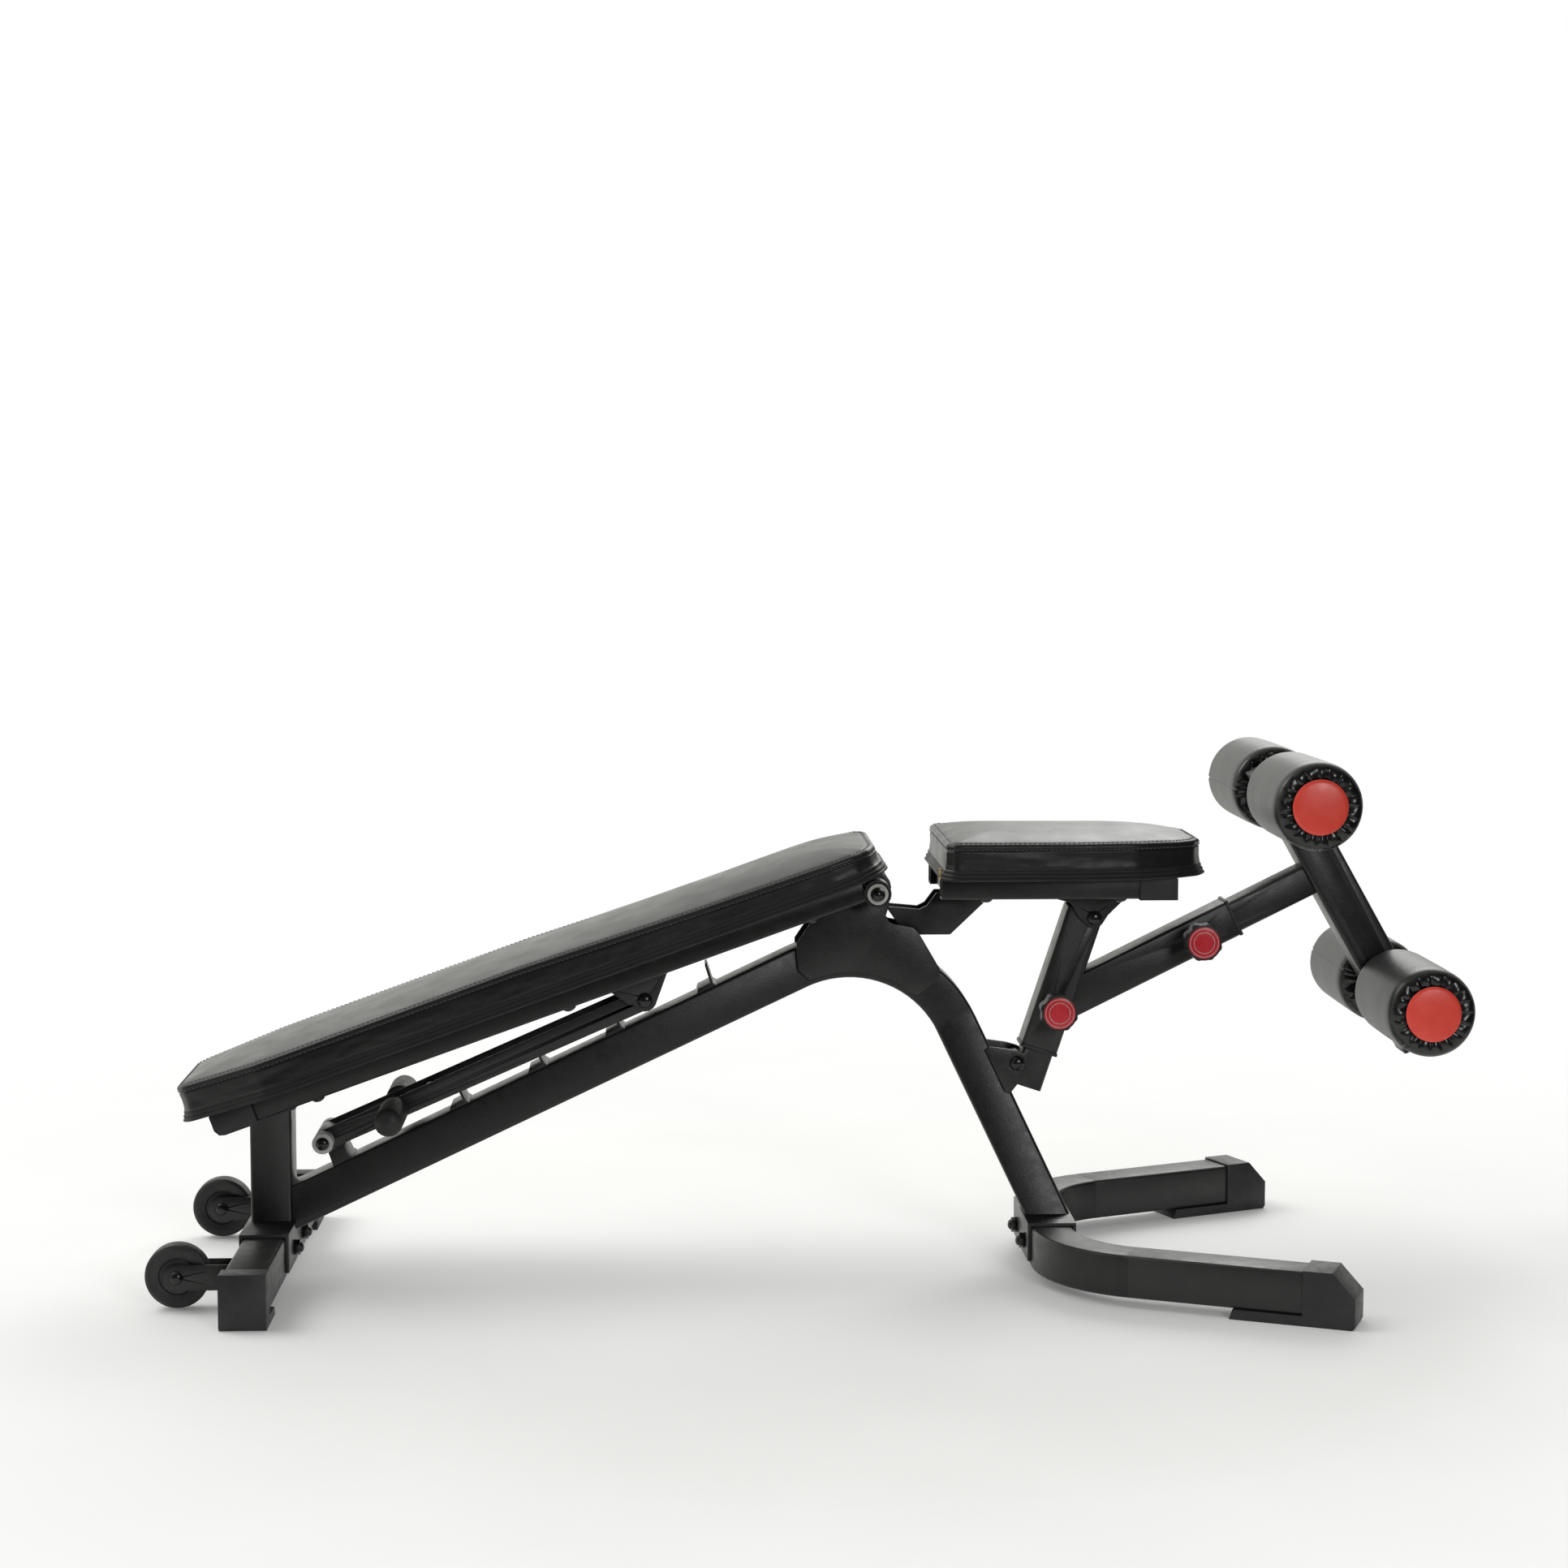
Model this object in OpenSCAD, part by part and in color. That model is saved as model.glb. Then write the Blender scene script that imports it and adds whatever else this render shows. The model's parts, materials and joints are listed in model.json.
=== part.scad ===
// Decline sit up bench: a bent steel frame carries a reclining back on a prop strut, a seat that
// tilts about the same axle, and a telescopic arm with four foam rollers for the legs.
// X runs along the bench with the foot rollers at +X, Y runs across it and Z is up.
// The origin is on the floor, on the centre plane, midway between the two ends.

/* [Frame] */
// Width of the square frame tube
tube_w = 50; // [46:1:52]
// Wall thickness of every steel tube
wall = 2; // [1.5:0.5:3]
// Rise of the main beam above the horizontal, in degrees
beam_rise = 25.3; // [24:0.1:26]
// Lean of the front leg from the vertical, in degrees
leg_lean = 25.5; // [24:0.1:27]
// Centreline radius of the bend between beam and leg
bend_r = 145; // [140:1:150]
// Height of the rubber feet under both base tubes
foot_h = 12; // [10:1:14]
// Half of the rear stabilizer's overall length
rear_half = 275; // [260:1:290]
// Splay of each front base leg from the bench's length, in degrees
splay = 23.3; // [20:0.1:26]

/* [Backrest] */
// Slope of the back at rest, in degrees
back_slope = 19.7; // [19:0.1:20]
// Length of the back pad behind the hinge
back_len = 868; // [840:1:890]
// Half of the back pad's greatest width
back_half = 130; // [120:1:134]
// Height of the back pad, cover and board together
back_thick = 50; // [44:1:54]

/* [Seat] */
// Length of the seat pad
seat_len = 324; // [300:1:330]
// Height of the seat pad, cover and board together
seat_thick = 55; // [48:1:58]

/* [Rollers and wheels] */
// Outer diameter of the foam rollers
roller_d = 104; // [90:1:104]
// Length of one foam roller
roller_len = 180; // [160:1:190]
// Diameter of the transport wheels
wheel_d = 75; // [70:1:76]
// Diameter of the knobs on the two pop pins
knob_d = 46; // [40:1:50]

/* [Hidden] */
$fn = 48;

edge_r = 4;          // outer corner radius of the square tubes
plate = 4;           // thickness of brackets and saddles
gap = 0.3;           // clearance between separate pieces
run = 0.1;           // radial clearance of pivots
half_w = tube_w / 2;
base_top = foot_h + tube_w;
saddle_top = base_top + gap + plate;

post_x = -645.4;     // rear post and rear stabilizer
axle = [83.6, 469.8];            // common axle of back and seat
bend_c = [54, 239.5];            // centre of the frame's bend
beam_end = bend_c + bend_r * [-sin(beam_rise), cos(beam_rise)];
leg_start = bend_c + bend_r * [cos(leg_lean), sin(leg_lean)];
leg_foot = leg_start + (leg_start[1] - base_top) * [tan(leg_lean), -1];

// Front base: a straight middle, two bends and two splayed legs
base_x = 297;
base_mid = 74;
base_bend_r = 132;
base_bend_end = [base_x + base_bend_r * (1 - sin(splay)), base_mid + base_bend_r * cos(splay)];
base_leg = 228;

// Backrest, in the frame of the slope with its zero at the axle
rail = 25;
rail_y = 64;         // inner side of each rail
rail_bottom = -4;
rail_top = rail_bottom + rail;
rail_head = -828;
head_bar = -778;
mid_bars = [-540, -300, -128];
pad_bottom = rail_top + 0.5;
pad_front = 22;
back_bolts = [-707, -390, -82];
board = 12;

// Strut that props the back
strut_top = [-193, 335.2];
strut_foot = [-580.2, 165.6];
strut_v = strut_top - strut_foot;
strut_len = norm(strut_v);
strut_a = atan2(strut_v[1], strut_v[0]);
strut_y = 26;        // inner side of each bar
bar_h = 25;
grip_at = 92.6;
spacer_at = 137;
catches = [-432, -327, -224];
block_at = -588;
last_catch = -101;

// Seat and the telescopic leg under its front
seat_x = 157;
seat_z = 487.5;
seat_rail_x = 160;
seat_rail_z = 462;
seat_rail_end = 420;
seat_bolts = [214, 375];
seat_pivot = [351.5, 431];
support_pivot = [258.6, 254.2];
support_tilt = 18.3;
support_mouth = [286.8, 270.7];
outer_w = 45;
inner_w = 38;
height_pin_at = 54.5;
height_travel = 66;
arm_mouth = [521, 428.5];
arm_rise = 26.4;
arm_pin_at = -49;
arm_travel = 100;

// Roller post and rollers
roller_low = [719, 342];
roller_gap = 276.2;
post_lean = 29.4;
roller_y = 34;
bar_d = 25;
roller_end = roller_y + roller_len;

wheel_at = [-733.5, wheel_d / 2 + 2.1];
wheel_y = 159;
wheel_w = 25;

steel = [0.10, 0.10, 0.105];
black = [0.06, 0.06, 0.065];
zinc = [0.72, 0.72, 0.70];
vinyl = [0.13, 0.13, 0.14];
red = [0.85, 0.16, 0.14];
wood = [0.55, 0.42, 0.28];

// ---- helpers ----

// Moves its children to a point [x, z] of the centre plane
module at(p) translate([p[0], 0, p[1]]) children();

// Turns its children about Y so that their X axis rises by a degrees
module rise(a) rotate([0, -a, 0]) children();

// Draws a side outline, x against z, as a plate from y0 to y1
module side_plate(y0, y1) translate([0, y1, 0]) rotate([90, 0, 0]) linear_extrude(y1 - y0) children();

// Draws a plan outline, x against y, from z0 to z1
module slab(z0, z1) translate([0, 0, z0]) linear_extrude(z1 - z0) children();

// Draws its children on both sides of the centre plane
module both_sides() {
    children();
    mirror([0, 1, 0]) children();
}

// Round bar across the bench
module rod_y(d, y0, y1) translate([0, y1, 0]) rotate([90, 0, 0]) cylinder(d = d, h = y1 - y0);

// Corner points of a rounded rectangle
function rounded(w, h, r) = [for (q = [0:3], k = [0:3])
    let (sx = q == 0 || q == 3 ? 1 : -1, sy = q < 2 ? 1 : -1, a = 90 * q + 30 * k)
    [sx * (w / 2 - r) + r * cos(a), sy * (h / 2 - r) + r * sin(a)]];

// Points of a strip with round ends around p0 and p1
function capsule(p0, p1, r) = let (a = atan2(p1[1] - p0[1], p1[0] - p0[0]))
    [for (e = [0, 1], k = [0:8]) (e == 0 ? p0 : p1) + r * [cos(a + 90 + 180 * e + 22.5 * k),
        sin(a + 90 + 180 * e + 22.5 * k)]];

// Points of an arc about c
function arc(c, r, a0, a1, n) = [for (k = [0:n]) c + r * [cos(a0 + (a1 - a0) * k / n),
    sin(a0 + (a1 - a0) * k / n)]];

// Extrudes a section along X, its width across and its height up
module along_x(x0, x1) translate([x0, 0, 0]) rotate([90, 0, 90]) linear_extrude(x1 - x0) children();

// Solid and hollow square bars along X
module bar(w, x0, x1) along_x(x0, x1) polygon(rounded(w, w, w > 30 ? edge_r : 2.5));
module bore(w, x0, x1) along_x(x0, x1) polygon(rounded(w - 2 * wall, w - 2 * wall, w > 30 ? 2.5 : 1));
module hollow(w, x0, x1) difference() {
    bar(w, x0, x1);
    bore(w, x0 - 1, x1 + 1);
}

// Hollow square tube bent to radius r about Z. It is a hair thinner than the straight tubes and runs
// a little into both, so that they join inside one another's walls.
module hollow_bend(r, angle) {
    slip = 0.05;
    reach = 0.6;
    rotate([0, 0, -reach]) rotate_extrude(angle = angle + 2 * reach) translate([r, 0]) difference() {
        polygon(rounded(tube_w - 2 * slip, tube_w - 2 * slip, edge_r));
        polygon(rounded(tube_w - 2 * wall + 2 * slip, tube_w - 2 * wall + 2 * slip, 2.5));
    }
}

// Low dome, flat side at z = 0
module dome(d, h) rotate_extrude() polygon(concat([[0, 0]], [for (a = [0:15:90]) [d / 2 * cos(a), h * sin(a)]]));

// Bolt along Z: dome head below 0, shank up to len, hexagon nut with a domed top above it
module bolt(len, d, head) {
    mirror([0, 0, 1]) dome(head, head * 0.32);
    cylinder(d = d, h = len + 1);
    translate([0, 0, len]) cylinder(d = head, h = d * 0.7, $fn = 6);
    translate([0, 0, len + d * 0.7]) dome(d * 1.3, d * 0.45);
}

// Bolt across the bench with its head on the near side
module bolt_y(half, d, head) translate([0, -half, 0]) rotate([-90, 0, 0]) bolt(2 * half, d, head);

// Frames of the sloping parts
module on_beam() at(beam_end) rise(beam_rise) children();
module on_back() at(axle) rise(back_slope) children();
module on_strut() at(strut_foot) rise(strut_a) children();
module on_support() at(support_mouth) rise(90 - support_tilt) children();
module on_arm() at(arm_mouth) rise(arm_rise) children();
module on_post() at(roller_low) rise(90 + post_lean) children();

// ---- frame ----

post_gap = 10.4;     // thickness of the rest plate and bumper under the back
saddle_bolt_z = foot_h + tube_w / 2 + 1;
saddle_bolt_y = 40;
bolt_hole = 10.6;
pivot_d = 10;
pivot_hole = pivot_d + 2 * run;

// Bolt holes through a base tube and its saddle, along X
module saddle_holes(x) {
    for (s = [-1, 1]) translate([x - 60, s * saddle_bolt_y, saddle_bolt_z])
        rotate([0, 90, 0]) cylinder(d = bolt_hole, h = 120);
}

// U shaped plate over a base tube
module saddle(x, half) difference() {
    translate([x - half_w - gap - plate, -half, foot_h + 8])
        cube([tube_w + 2 * (gap + plate), 2 * half, saddle_top - foot_h - 8]);
    translate([x - half_w - gap, -half - 1, foot_h - 1])
        cube([tube_w + 2 * gap, 2 * half + 2, base_top + gap - foot_h + 1]);
    saddle_holes(x);
}

module main_frame() {
    post_len = 180;
    beam_len = (beam_end[0] - post_x) / cos(beam_rise);
    color(steel) {
        // Rear post, its top cut to the slope of the back
        difference() {
            translate([post_x, 0, saddle_top]) rise(90) hollow(tube_w, 0, post_len);
            on_back() translate([-900, -60, rail_bottom - post_gap]) cube([200, 120, 100]);
        }
        // Beam, from the front face of the post to the bend
        difference() {
            on_beam() hollow(tube_w, -beam_len, 0);
            translate([post_x - 100, -60, 0]) cube([100 + half_w, 120, 300]);
        }
        at(bend_c) rotate([90, 0, 0]) rotate([0, 0, leg_lean])
            hollow_bend(bend_r, 90 + beam_rise - leg_lean);
        // Front leg, cut level on its saddle
        difference() {
            at(leg_start) rise(leg_lean - 90) hollow(tube_w, 0, 320);
            translate([leg_foot[0] - 120, -60, -100]) cube([240, 120, saddle_top + 100]);
        }
        saddle(post_x, 94);
        saddle(base_x, 72);
        // Rest plate on the post, sloping with the back
        on_back() translate([-806, -30, rail_bottom - post_gap]) cube([60, 60, 3.8]);
    }
}

// Bolted and welded hinge plates on both sides of the bend
module gusset_plates() {
    boss_r = 20.8;
    color(steel) both_sides() difference() {
        side_plate(half_w + 0.05, half_w + 5) {
            polygon(concat([[-8, 370], [-10, 388], [-10, 402], [7, 427], [62, 474]],
                arc(axle, boss_r, 150, -20, 8),
                [[101.5, 447], [97.5, 434], [104, 426], [131, 421], [138, 414.5], [164, 370],
                    [163, 360], [137, 338.5], [125.5, 342.5]],
                arc(bend_c, bend_r - half_w + 8, 60, 112, 8)));
        }
        at(axle) rod_y(bar_d + 2 * run, 0, 60);
    }
}

// Upturned catches along the top of the beam for the strut's foot, each on its own base plate
catch_base = [[-23, 0], [-19, 5], [-2, 5.5]];
module ladder_catches() {
    color(steel) on_beam() translate([0, 0, half_w]) {
        for (s = catches) translate([s, 0, 0]) side_plate(-half_w, half_w)
            polygon(concat(catch_base, [[-2, 17], [1, 17], [1, 4], [4, 0]]));
        translate([block_at, 0, 0]) side_plate(-half_w, half_w)
            polygon([[-22, 0], [-20, 18], [1, 18], [1, 4], [4, 0]]);
        translate([last_catch, 0, 0]) side_plate(-half_w, half_w)
            polygon(concat(catch_base, [[1, 27], [4, 27], [1, 4], [4, 0]]));
    }
}

module rest_bumper() {
    color(black) on_back() translate([-804, -28, rail_bottom - post_gap + 3.8]) cube([56, 56, 6]);
}

// Tube that the back and the seat both turn on
axle_half = 96;
module hinge_axle() {
    color(zinc) at(axle) difference() {
        rod_y(bar_d, -axle_half, axle_half);
        rod_y(bar_d - 10, -axle_half - 1, axle_half + 1);
    }
}

module hinge_end_bolts() {
    color(black) at(axle) both_sides() translate([0, -axle_half, 0]) rotate([-90, 0, 0]) {
        mirror([0, 0, 1]) cylinder(d = 17, h = 1.5);
        translate([0, 0, -1.5]) mirror([0, 0, 1]) dome(13, 4.5);
        cylinder(d = bar_d - 10 - 2 * gap, h = 30);
    }
}

// ---- rear stabilizer and wheels ----

rear_tube_end = rear_half - 4;
module rear_stabilizer() {
    color(steel) difference() {
        translate([post_x, 0, foot_h + half_w]) rotate([0, 0, 90]) hollow(tube_w, -rear_tube_end, rear_tube_end);
        saddle_holes(post_x);
    }
}

// Moulded caps with a rubber foot below each end of the stabilizer
module rear_end_caps() {
    sleeve = 30;
    color(black) both_sides() difference() {
        translate([post_x, 0, 0]) rotate([0, 0, -90]) side_plate(-half_w - 2, half_w + 2)
            polygon([[rear_half - sleeve, foot_h - 2], [rear_half - sleeve - 40, foot_h - 2],
                [rear_half - sleeve - 44, 0], [rear_half - 3, 0], [rear_half, 3],
                [rear_half, base_top - 5], [rear_half - 3, base_top + 2], [rear_half - sleeve, base_top + 2]]);
        translate([post_x, 0, foot_h + half_w]) rotate([0, 0, -90])
            bar(tube_w + 2 * gap, rear_half - sleeve - 60, rear_tube_end + gap);
    }
}

module rear_bolts() {
    reach = half_w + gap + plate;
    color(black) for (s = [-1, 1]) translate([post_x - reach, s * saddle_bolt_y, saddle_bolt_z])
        rotate([0, 90, 0]) bolt(2 * reach, 10, 19);
}

// Four plates that hold the wheels behind the stabilizer
module wheel_brackets() {
    fork = 3;
    color(steel) both_sides() for (y = [wheel_y - 1 - fork, wheel_y + wheel_w + 1]) difference() {
        side_plate(y, y + fork)
            polygon(concat([[post_x - half_w, wheel_at[1] + 15]], arc(wheel_at, 15, 90, 270, 12),
                [[post_x - half_w, wheel_at[1] - 15]]));
        at(wheel_at) rod_y(8 + 2 * run, y - 1, y + fork + 1);
    }
}

module wheel_axle_bolts() {
    color(black) both_sides() at(wheel_at) translate([0, wheel_y - 4 - gap, 0]) rotate([-90, 0, 0])
        union() {
            mirror([0, 0, 1]) dome(16, 5);
            cylinder(d = 8, h = wheel_w + 9);
            translate([0, 0, wheel_w + 8 + 2 * gap]) dome(16, 5);
        }
}

// Solid tyre with a groove beside the hub
module tyre() {
    r = wheel_d / 2;
    color(black) rotate([90, 0, 0]) rotate_extrude() polygon([[21, -wheel_w / 2 + 2], [30, -wheel_w / 2],
        [r - 4, -wheel_w / 2], [r - 1, -wheel_w / 2 + 2], [r, -wheel_w / 2 + 5], [r, wheel_w / 2 - 5],
        [r - 1, wheel_w / 2 - 2], [r - 4, wheel_w / 2], [30, wheel_w / 2], [21, wheel_w / 2 - 2]]);
}

module hub() {
    color(black) rotate([90, 0, 0]) rotate_extrude() polygon([[4 + run, -wheel_w / 2], [10, -wheel_w / 2],
        [12, -wheel_w / 2 + 3], [20.8, -wheel_w / 2 + 3], [20.8, wheel_w / 2 - 3],
        [12, wheel_w / 2 - 3], [10, wheel_w / 2], [4 + run, wheel_w / 2]]);
}

module at_wheel(side) at(wheel_at) translate([0, side * (wheel_y + wheel_w / 2), 0]) children();
module near_wheel_tyre() at_wheel(-1) tyre();
module near_wheel_hub() at_wheel(-1) hub();
module far_wheel_tyre() at_wheel(1) tyre();
module far_wheel_hub() at_wheel(1) hub();

// ---- front base ----

module front_base() {
    color(steel) difference() {
        translate([0, 0, foot_h + half_w]) {
            translate([base_x, 0, 0]) rotate([0, 0, 90]) hollow(tube_w, -base_mid, base_mid);
            both_sides() {
                translate([base_x + base_bend_r, base_mid, 0]) rotate([0, 0, 90 + splay])
                    hollow_bend(base_bend_r, 90 - splay);
                translate([base_bend_end[0], base_bend_end[1], 0]) rotate([0, 0, splay])
                    hollow(tube_w, 0, base_leg);
            }
        }
        saddle_holes(base_x);
    }
}

// Wedge shaped caps with a long rubber foot under each toe
module front_end_caps() {
    sleeve = 26;
    nose = 34;
    color(black) both_sides() translate([base_bend_end[0], base_bend_end[1], 0])
        rotate([0, 0, splay]) translate([base_leg, 0, 0]) difference() {
            side_plate(-half_w - 2, half_w + 2) polygon([[-110, 0], [nose - 3, 0], [nose, 3],
                [nose, 36], [8, base_top + 2], [-sleeve, base_top + 2], [-sleeve, foot_h - gap],
                [-106, foot_h - gap]]);
            translate([0, 0, foot_h + half_w]) bar(tube_w + 2 * gap, -130, gap);
        }
}

module front_bolts() {
    reach = half_w + gap + plate;
    color(black) for (s = [-1, 1]) translate([base_x + reach, s * saddle_bolt_y, saddle_bolt_z])
        rotate([0, -90, 0]) bolt(2 * reach, 10, 19);
}

// Ears on the front leg that carry the telescopic support
module support_bracket() {
    color(steel) both_sides() difference() {
        side_plate(half_w + 0.05, half_w + plate)
            polygon(concat([[219.5, 271], [226, 274.3], [250, 271]],
                arc(support_pivot, 14, 75, -10, 5), [[258.7, 227.5], [251, 217.5], [244, 219.5], [232, 245]]));
        at(support_pivot) rod_y(pivot_hole, 0, 60);
    }
}

module support_pivot_bolt() {
    color(black) at(support_pivot) bolt_y(half_w + plate + gap, 10, 18);
}

// ---- backrest ----

module cross_bar(x) translate([x + rail / 2, 0, rail_bottom + rail / 2]) rotate([0, 0, 90])
    hollow(rail, -rail_y - 1, rail_y + 1);

// Hinge bush at the hip end of a rail
bush_d = 33;
module back_frame() {
    color(steel) on_back() difference() {
        union() {
            both_sides() translate([0, rail_y + rail / 2, rail_bottom + rail / 2]) hollow(rail, rail_head, -14);
            both_sides() rod_y(bush_d, rail_y, rail_y + rail + 3);
            for (x = concat([head_bar], mid_bars)) cross_bar(x);
        }
        rod_y(bar_d + 2 * run, -120, 120);
        both_sides() for (x = back_bolts) translate([x, rail_y + rail / 2, -20]) cylinder(d = 8.6, h = 60);
    }
}

// Moulded sleeves on the head ends of the rails
module back_frame_caps() {
    color(black) on_back() both_sides() translate([0, rail_y + rail / 2, rail_bottom + rail / 2]) difference() {
        side_plate(-rail / 2 - 2.5, rail / 2 + 2.5) polygon([[rail_head - 6, 12], [rail_head - 6, -6],
            [rail_head - 2, -13], [rail_head + 5, -15], [rail_head + 46, -15], [rail_head + 46, 12]]);
        bar(rail + 2 * gap, rail_head - gap, rail_head + 50);
    }
}

// Plan of the back pad: a narrow head, straight sides and a rounded hip end
function back_plan(inset) = let (head = -back_len + inset, w = back_half - inset, front = pad_front - inset)
    let (half = [[head, 72 - inset / 2], [head + 12, 88 - inset / 2], [head + 110, w - 2], [head + 150, w],
        [front - 60, w], [front - 30, w - 8], [front - 10, w - 26], [front, w - 56]])
    concat(half, [for (k = [len(half) - 1:-1:0]) [half[k][0], -half[k][1]]]);

module back_board() {
    color(wood) on_back() difference() {
        slab(pad_bottom + 2, pad_bottom + 2 + board) polygon(back_plan(6));
        both_sides() for (x = back_bolts) translate([x, rail_y + rail / 2, -20]) cylinder(d = 8.6, h = 60);
    }
}

module back_pad() {
    top = pad_bottom + back_thick;
    color(vinyl) on_back() difference() {
        intersection() {
            slab(pad_bottom, top) polygon(back_plan(0));
            side_plate(-back_half, back_half) polygon([[-back_len, pad_bottom], [-back_len, top - 12],
                [-back_len + 30, top], [-160, top], [-30, top - 6], [pad_front - 8, top - 20],
                [pad_front, top - 34], [pad_front, pad_bottom]]);
        }
        slab(pad_bottom + 2 - gap, pad_bottom + 2 + board + gap) polygon(back_plan(6 - gap));
        both_sides() for (x = back_bolts) translate([x, rail_y + rail / 2, -20]) cylinder(d = 14, h = 60);
    }
}

module pad_bolts(places, bottom, reach) {
    both_sides() for (x = places) translate([x, rail_y + rail / 2, bottom]) {
        mirror([0, 0, 1]) dome(16, 5);
        cylinder(d = 8, h = reach);
    }
}

module back_pad_bolts() {
    color(black) on_back() pad_bolts(back_bolts, rail_bottom, rail + board);
}

// Two ears under the back, welded to the third cross bar, that hold the strut
module strut_bracket() {
    ear = 35;
    color(steel) on_back() difference() {
        union() {
            both_sides() side_plate(ear - plate, ear) rotate(-back_slope) translate(-axle)
                polygon(concat([[-240, 349], [-212, 330]], arc(strut_top, 14, 205, 335, 6), [[-163, 377]]));
        }
        translate([-400, -60, rail_bottom - 0.05]) cube([200, 120, 60]);
        at_strut_top() rod_y(pivot_hole, -60, 60);
    }
}

// Moves its children to the strut's pivot in the frame of the slope
module at_strut_top() rise(-back_slope) at(strut_top - axle) children();

module strut_pivot_bolt() {
    color(black) at(strut_top) bolt_y(35 + gap, 10, 18);
}

// ---- strut ----

module strut_bars() {
    color(steel) on_strut() difference() {
        union() {
            both_sides() side_plate(strut_y, strut_y + 3)
                polygon(capsule([0, 0], [strut_len, 0], bar_h / 2));
            translate([spacer_at, 0, 0]) rod_y(16, -strut_y - 1, strut_y + 1);
        }
        rod_y(pivot_hole, -60, 60);
        translate([strut_len, 0, 0]) rod_y(pivot_hole, -60, 60);
        translate([grip_at, 0, 0]) rod_y(12 + gap, -60, 60);
    }
}

foot_half = 49;
module strut_foot_tube() {
    color(zinc) on_strut() both_sides() difference() {
        union() {
            rod_y(bar_d, 0, strut_y - gap);
            rod_y(bar_d, strut_y + 3 + gap, foot_half);
        }
        rod_y(pivot_hole, -1, 60);
    }
}

module strut_foot_bolts() {
    color(black) on_strut() bolt_y(foot_half, 10, 16);
}

grip_half = 117;
module handle_bar() {
    color(steel) on_strut() translate([grip_at, 0, 0]) rod_y(12, -grip_half + 8, grip_half - 8);
}

module handle_grips() {
    color(black) on_strut() translate([grip_at, 0, 0]) both_sides() difference() {
        rotate([-90, 0, 0]) rotate_extrude() polygon(concat([[0, 34], [15, 34], [17, 37]],
            [for (a = [0:15:90]) [17 * cos(a), grip_half - 12 + 12 * sin(a)]]));
        rod_y(12 + gap, 0, grip_half - 8 + gap);
    }
}

// ---- seat ----

module seat_cross(x) translate([x + rail / 2, 0, seat_rail_z + rail / 2]) rotate([0, 0, 90])
    hollow(rail, -rail_y - 1, rail_y + 1);

module seat_frame() {
    color(steel) difference() {
        union() {
            both_sides() translate([0, rail_y + rail / 2, seat_rail_z + rail / 2])
                hollow(rail, seat_rail_x, seat_rail_end);
            for (x = [seat_rail_x + 8, seat_rail_x + 40, 300, 366]) seat_cross(x);
        }
        both_sides() for (x = seat_bolts) translate([x, rail_y + rail / 2, seat_rail_z - 20])
            cylinder(d = 8.6, h = 60);
    }
}

module seat_frame_caps() {
    color(black) both_sides() translate([0, rail_y + rail / 2, seat_rail_z + rail / 2]) difference() {
        translate([396.8, -rail / 2 - 2, -rail / 2 - 1.5]) cube([45.2, rail + 4, rail + 1]);
        bar(rail + 2 * gap, 380, seat_rail_end + gap);
    }
}

// Plan of the seat pad: a straight rear edge and a narrower, rounded front
function seat_plan(inset) = let (rear = seat_x + inset, front = seat_x + seat_len - inset, w = 127 - inset)
    let (half = [[rear, w - 12], [rear + 4, w - 3], [rear + 14, w], [front - 150, w], [front - 90, w - 10],
        [front - 40, w - 30], [front - 12, w - 52], [front, w - 78]])
    concat(half, [for (k = [len(half) - 1:-1:0]) [half[k][0], -half[k][1]]]);

module seat_board() {
    color(wood) difference() {
        slab(seat_z + 2, seat_z + 2 + board) polygon(seat_plan(6));
        both_sides() for (x = seat_bolts) translate([x, rail_y + rail / 2, seat_z - 20])
            cylinder(d = 8.6, h = 60);
    }
}

module seat_pad() {
    top = seat_z + seat_thick;
    color(vinyl) difference() {
        slab(seat_z, top) polygon(seat_plan(0));
        slab(seat_z + 2 - gap, seat_z + 2 + board + gap) polygon(seat_plan(6 - gap));
        both_sides() for (x = seat_bolts) translate([x, rail_y + rail / 2, seat_z - 20])
            cylinder(d = 14, h = 50);
    }
}

module seat_pad_bolts() {
    color(black) pad_bolts(seat_bolts, seat_rail_z, rail + board);
}

// Two plates that hang the seat on the axle
module seat_arms() {
    arm_y = 16;
    color(steel) both_sides() difference() {
        union() {
            side_plate(arm_y, arm_y + plate)
                polygon(concat(arc(axle, 19, 60, 300, 12), [[114, 423.5], [140.5, 411], [177, 411],
                    [218, 450], [218, seat_rail_z - 0.1], [160, seat_rail_z - 0.1], [148.5, 446.5],
                    [139.5, 442], [102.5, 445.5]]));
            at(axle) rod_y(bush_d, arm_y - 8, arm_y + plate);
        }
        at(axle) rod_y(bar_d + 2 * run, 0, 60);
    }
}

// Bracket under the front of the seat: a plate and two ears
module seat_bracket() {
    ear_y = 23.2;
    color(steel) {
        translate([300, -ear_y - plate, seat_rail_z - plate - 0.1]) cube([91, 2 * (ear_y + plate), plate]);
        both_sides() difference() {
            side_plate(ear_y, ear_y + plate) polygon(concat([[302, seat_rail_z - 1], [302, 455.6],
                [322.4, 449.8], [332.5, 432.1]], arc(seat_pivot, 12, 215, 325, 6),
                [[368, 434.6], [389.4, 455.6], [389.4, seat_rail_z - 1]]));
            at(seat_pivot) rod_y(pivot_hole, 0, 60);
        }
    }
}

module seat_pivot_bolt() {
    color(black) at(seat_pivot) bolt_y(23.2 + plate + gap, 10, 18);
}

// ---- telescopic support and roller arm ----

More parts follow.
